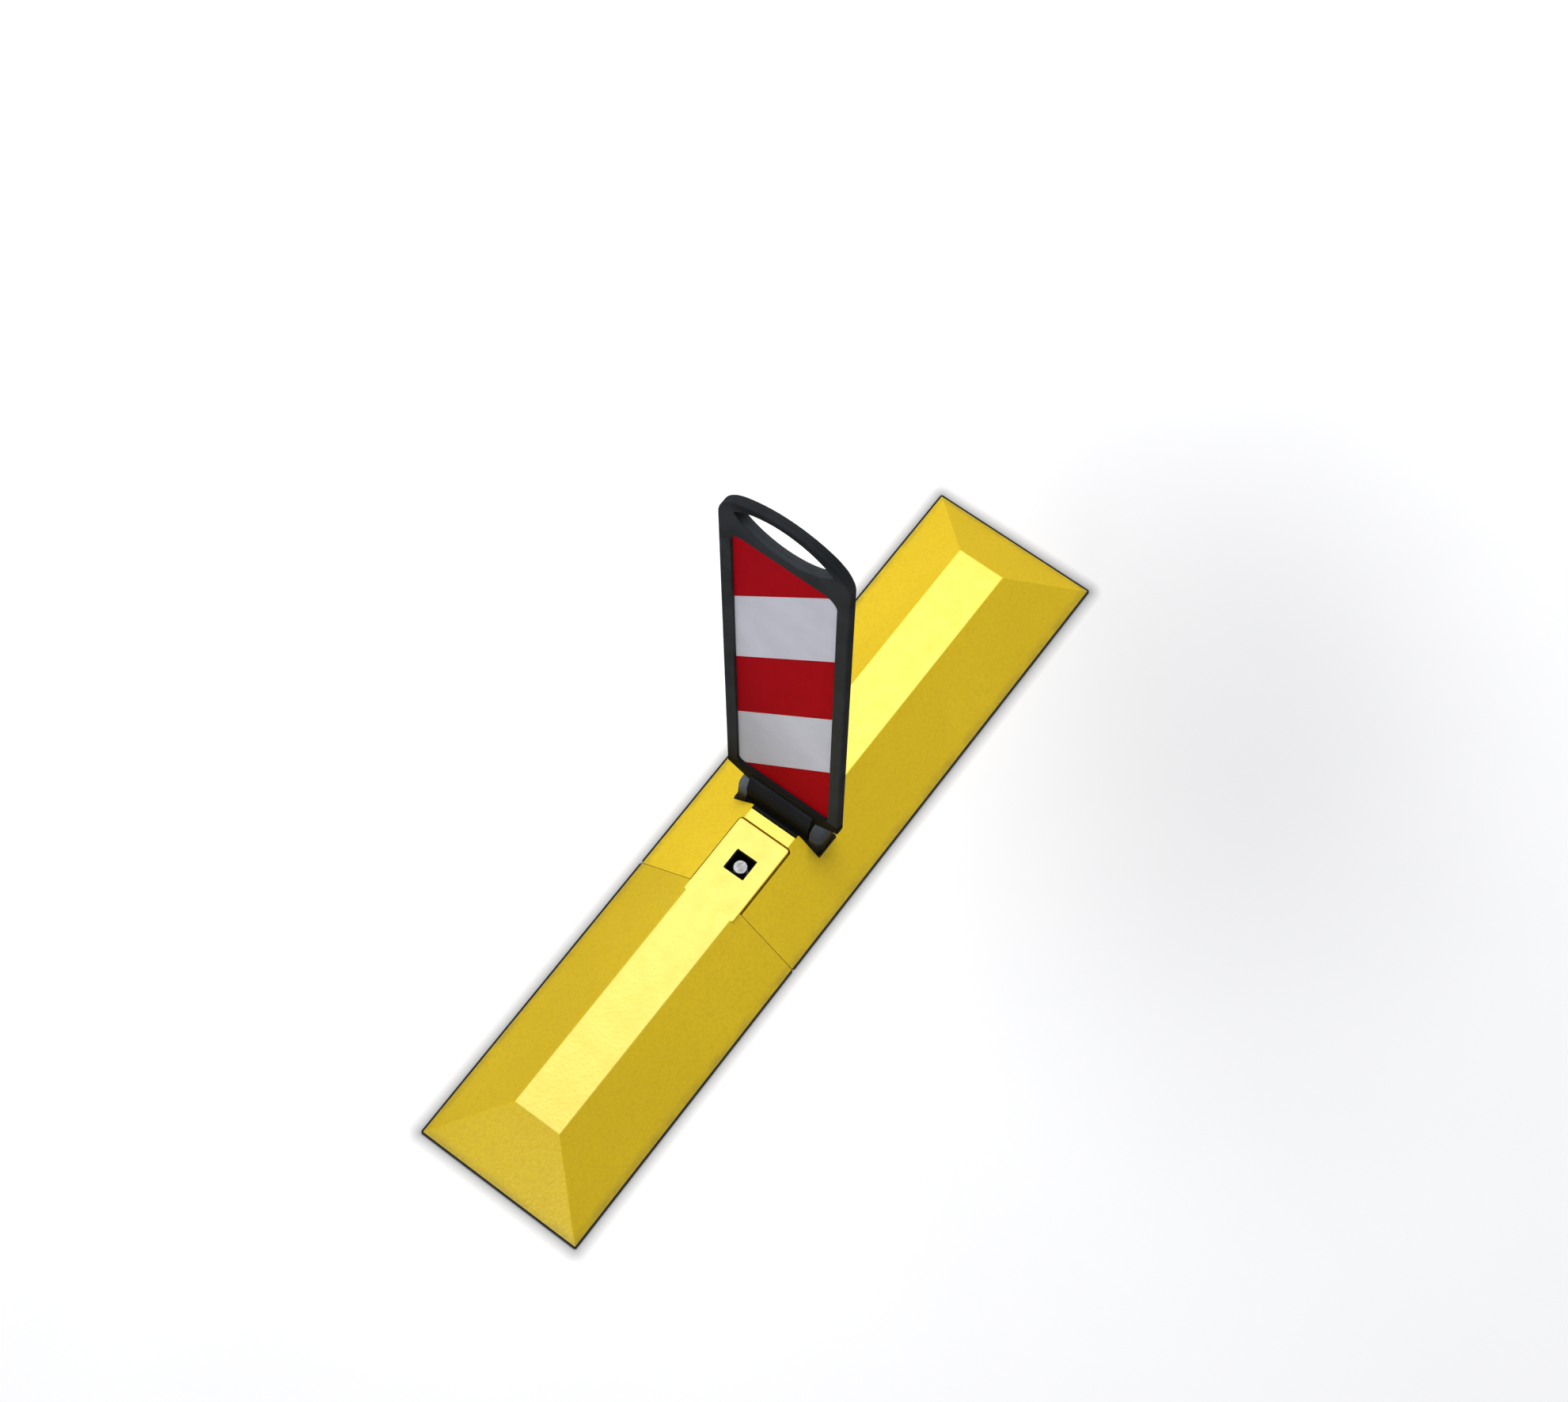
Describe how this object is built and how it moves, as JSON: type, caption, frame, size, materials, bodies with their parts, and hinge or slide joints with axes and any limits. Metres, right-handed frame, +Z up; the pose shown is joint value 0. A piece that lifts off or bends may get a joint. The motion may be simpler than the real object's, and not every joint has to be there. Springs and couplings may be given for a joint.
{
  "type": "fold-down marker panel on kerb sill",
  "caption": "Low yellow kerb sill in two hooked sections with a framed, striped marker panel that folds down on a friction hinge.",
  "frame": {"origin": "centre of the footprint, on the ground", "axes": "+X along the sill from the near section to the far one, the way the panel folds down; +Y across it; +Z up"},
  "size_m": [1, 0.22, 0.7754],
  "materials": {
    "yellow_moulding": "moulded, fine pebble grain",
    "mat_rubber": "matt",
    "black_plastic": "matt",
    "zinc_steel": "zinc plated",
    "pin_steel": "zinc plated, dull",
    "bracket_grey": "satin",
    "spring_steel": "phosphated",
    "friction_lining": "matt",
    "foot_plastic": "satin",
    "bush_plastic": "natural",
    "frame_plastic": "satin moulded",
    "core_plastic": "satin",
    "red_sheeting": "retroreflective film",
    "white_sheeting": "retroreflective film"
  },
  "bodies": {
    "sill": {"near_sill": "yellow_moulding", "far_sill": "yellow_moulding", "near_base_mat": "mat_rubber", "far_base_mat": "mat_rubber", "coupling_bush": "black_plastic", "coupling_socket": "zinc_steel", "hinge_bracket": "bracket_grey", "bracket_screws": "zinc_steel", "nut_plates": "zinc_steel", "hinge_bolt": "zinc_steel", "hinge_nut": "zinc_steel", "disc_springs": "spring_steel", "friction_washers": "friction_lining", "ear_cap_left": "bracket_grey", "ear_cap_right": "bracket_grey"},
    "coupling_pin": {"coupling_pin": "pin_steel"},
    "panel": {"hinge_foot": "foot_plastic", "foot_bushes": "bush_plastic", "foot_screws": "zinc_steel", "frame_front": "frame_plastic", "frame_rear": "frame_plastic", "frame_screws": "zinc_steel", "core_board": "core_plastic", "red_film_front": "red_sheeting", "white_film_front": "white_sheeting", "red_film_rear": "red_sheeting", "white_film_rear": "white_sheeting"}
  },
  "joints": [
    {"name": "panel_fold", "type": "hinge", "parent": "sill", "child": "panel", "pos_m": [0.031, 0, 0.0765], "axis": [0, 1, 0], "range_deg": [0, 90]},
    {"name": "pin_lift", "type": "slide", "parent": "sill", "child": "coupling_pin", "axis": [0, 0, 1], "range_m": [0, 0.063]}
  ]
}
